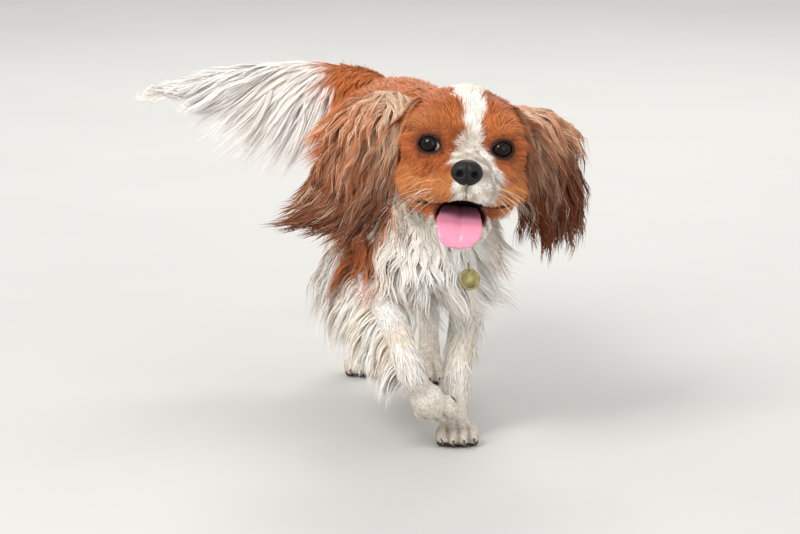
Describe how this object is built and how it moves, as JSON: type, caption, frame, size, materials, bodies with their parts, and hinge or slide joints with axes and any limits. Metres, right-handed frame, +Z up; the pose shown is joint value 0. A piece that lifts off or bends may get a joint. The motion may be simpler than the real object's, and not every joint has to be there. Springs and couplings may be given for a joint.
{
  "type": "cavalier king charles spaniel, still life-size model",
  "caption": "Life-size still model of a small chestnut and white spaniel trotting with one fore paw lifted, mouth open, feathered ears and tail.",
  "frame": {"origin": "on the floor below the middle of the model's box", "axes": "+Z up; the dog faces -Y; its left side is +X"},
  "size_m": [0.3592, 0.5301, 0.3051],
  "materials": {
    "chestnut_coat": "silky medium-length chestnut coat",
    "ear_coat": "long wavy dark chestnut hair",
    "white_coat": "silky long white and cream hair",
    "nose_leather": "moist pebbled black skin",
    "tongue_pink": "moist smooth pink",
    "eye_brown": "glossy dark brown",
    "collar_webbing": "woven olive webbing",
    "tag_brass": "brushed, blank"
  },
  "bodies": {
    "root": {"torso": "chestnut_coat", "neck": "white_coat", "head": "chestnut_coat", "lower_jaw": "white_coat", "tongue": "tongue_pink", "nose": "nose_leather", "eye_right": "eye_brown", "eye_left": "eye_brown", "ear_right": "ear_coat", "ear_left": "ear_coat", "tail": "white_coat", "foreleg_right": "white_coat", "foreleg_left": "white_coat", "hind_leg_right": "white_coat", "hind_leg_left": "white_coat", "fore_paw_right": "white_coat", "fore_paw_left": "white_coat", "hind_paw_right": "white_coat", "hind_paw_left": "white_coat", "collar": "collar_webbing", "collar_tag": "tag_brass"}
  },
  "joints": []
}
